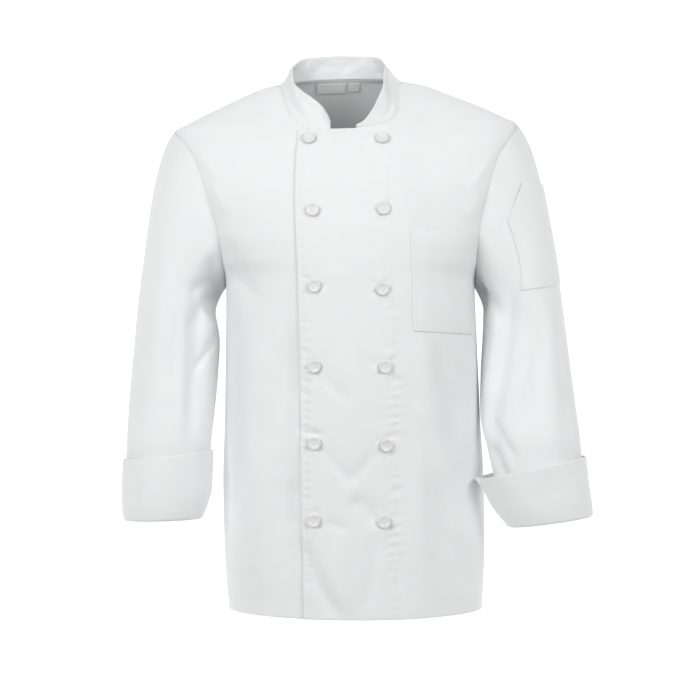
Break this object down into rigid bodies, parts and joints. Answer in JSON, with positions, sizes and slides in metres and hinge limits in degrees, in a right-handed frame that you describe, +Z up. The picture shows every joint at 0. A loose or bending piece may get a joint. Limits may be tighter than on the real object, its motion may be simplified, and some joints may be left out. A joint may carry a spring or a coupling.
{
  "type": "chef jacket",
  "caption": "Long-sleeved double-breasted chef jacket in white twill with a stand-up collar, turned-back cuffs, a chest pocket and a sleeve pocket, filled out as worn.",
  "frame": {"origin": "midway between the two high shoulder points, where the neck seam meets the shoulder seams and the wearer's shoulders hold the jacket up", "axes": "+Z up, the front faces -Y and the wearer's left is +X"},
  "size_m": [0.6911, 0.2631, 0.8378],
  "materials": {
    "twill": "matt white cotton twill",
    "label_satin": "soft white woven satin",
    "button_plastic": "semi-gloss white plastic"
  },
  "bodies": {
    "root": {"back": "twill", "front_left": "twill", "front_right": "twill", "collar": "twill", "sleeve_left": "twill", "cuff_left": "twill", "sleeve_right": "twill", "cuff_right": "twill", "chest_pocket": "twill", "sleeve_pocket": "twill", "label": "label_satin", "size_label": "label_satin", "button_right_1": "button_plastic", "button_right_2": "button_plastic", "button_right_3": "button_plastic", "button_right_4": "button_plastic", "button_right_5": "button_plastic", "button_right_6": "button_plastic", "button_left_1": "button_plastic", "button_left_2": "button_plastic", "button_left_3": "button_plastic", "button_left_4": "button_plastic", "button_left_5": "button_plastic", "button_left_6": "button_plastic"}
  },
  "joints": []
}
